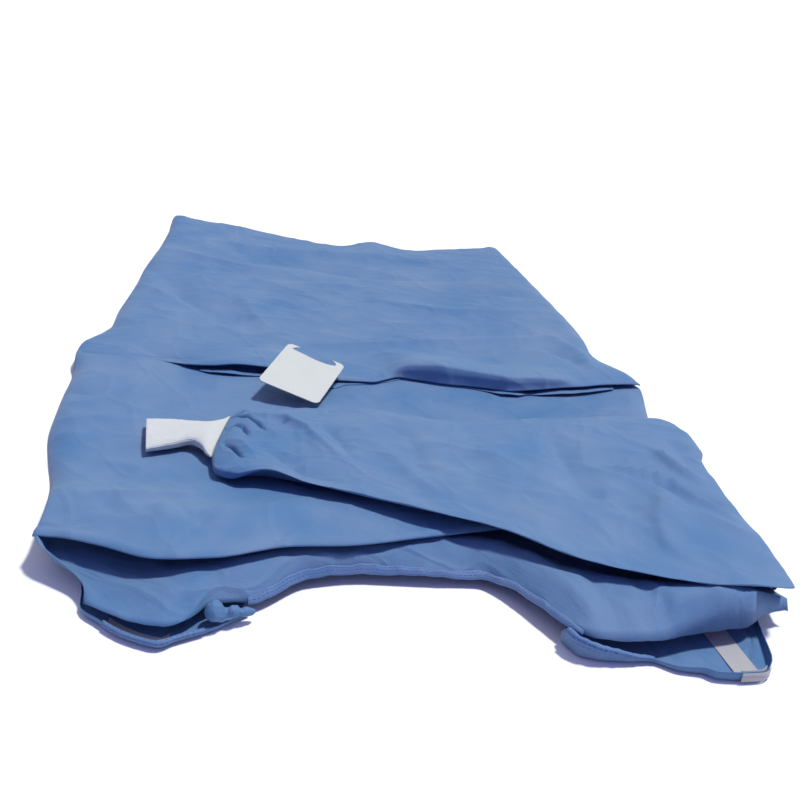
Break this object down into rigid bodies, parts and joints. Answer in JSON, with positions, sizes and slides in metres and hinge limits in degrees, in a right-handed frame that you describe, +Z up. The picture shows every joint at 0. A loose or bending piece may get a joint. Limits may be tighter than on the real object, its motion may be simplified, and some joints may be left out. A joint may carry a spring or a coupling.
{
  "type": "surgical gown",
  "caption": "Blue disposable surgical gown laid flat on a table, one sleeve folded across the front, with a white knitted cuff and a white belt card.",
  "frame": {"origin": "on the table under the middle of the laid-out gown's box", "axes": "+Z up from the table, +Y from the neck towards the hem, +X to the viewer's right (the wearer's left side)"},
  "size_m": [0.7099, 1.2546, 0.0487],
  "materials": {
    "nonwoven_cloth": "matte",
    "knit_cuff": "matte",
    "fastener_tape": "matte",
    "card": "matte"
  },
  "bodies": {
    "root": {"front": "nonwoven_cloth", "back_left": "nonwoven_cloth", "back_right": "nonwoven_cloth", "sleeve_right": "nonwoven_cloth", "sleeve_left": "nonwoven_cloth", "belt_left": "nonwoven_cloth", "belt_right": "nonwoven_cloth", "neck_binding_front": "nonwoven_cloth", "neck_binding_left": "nonwoven_cloth", "neck_binding_right": "nonwoven_cloth", "neck_tie": "nonwoven_cloth", "cuff_right": "knit_cuff", "cuff_left": "knit_cuff", "fastener_left": "fastener_tape", "fastener_right": "fastener_tape", "belt_card": "card"}
  },
  "joints": []
}
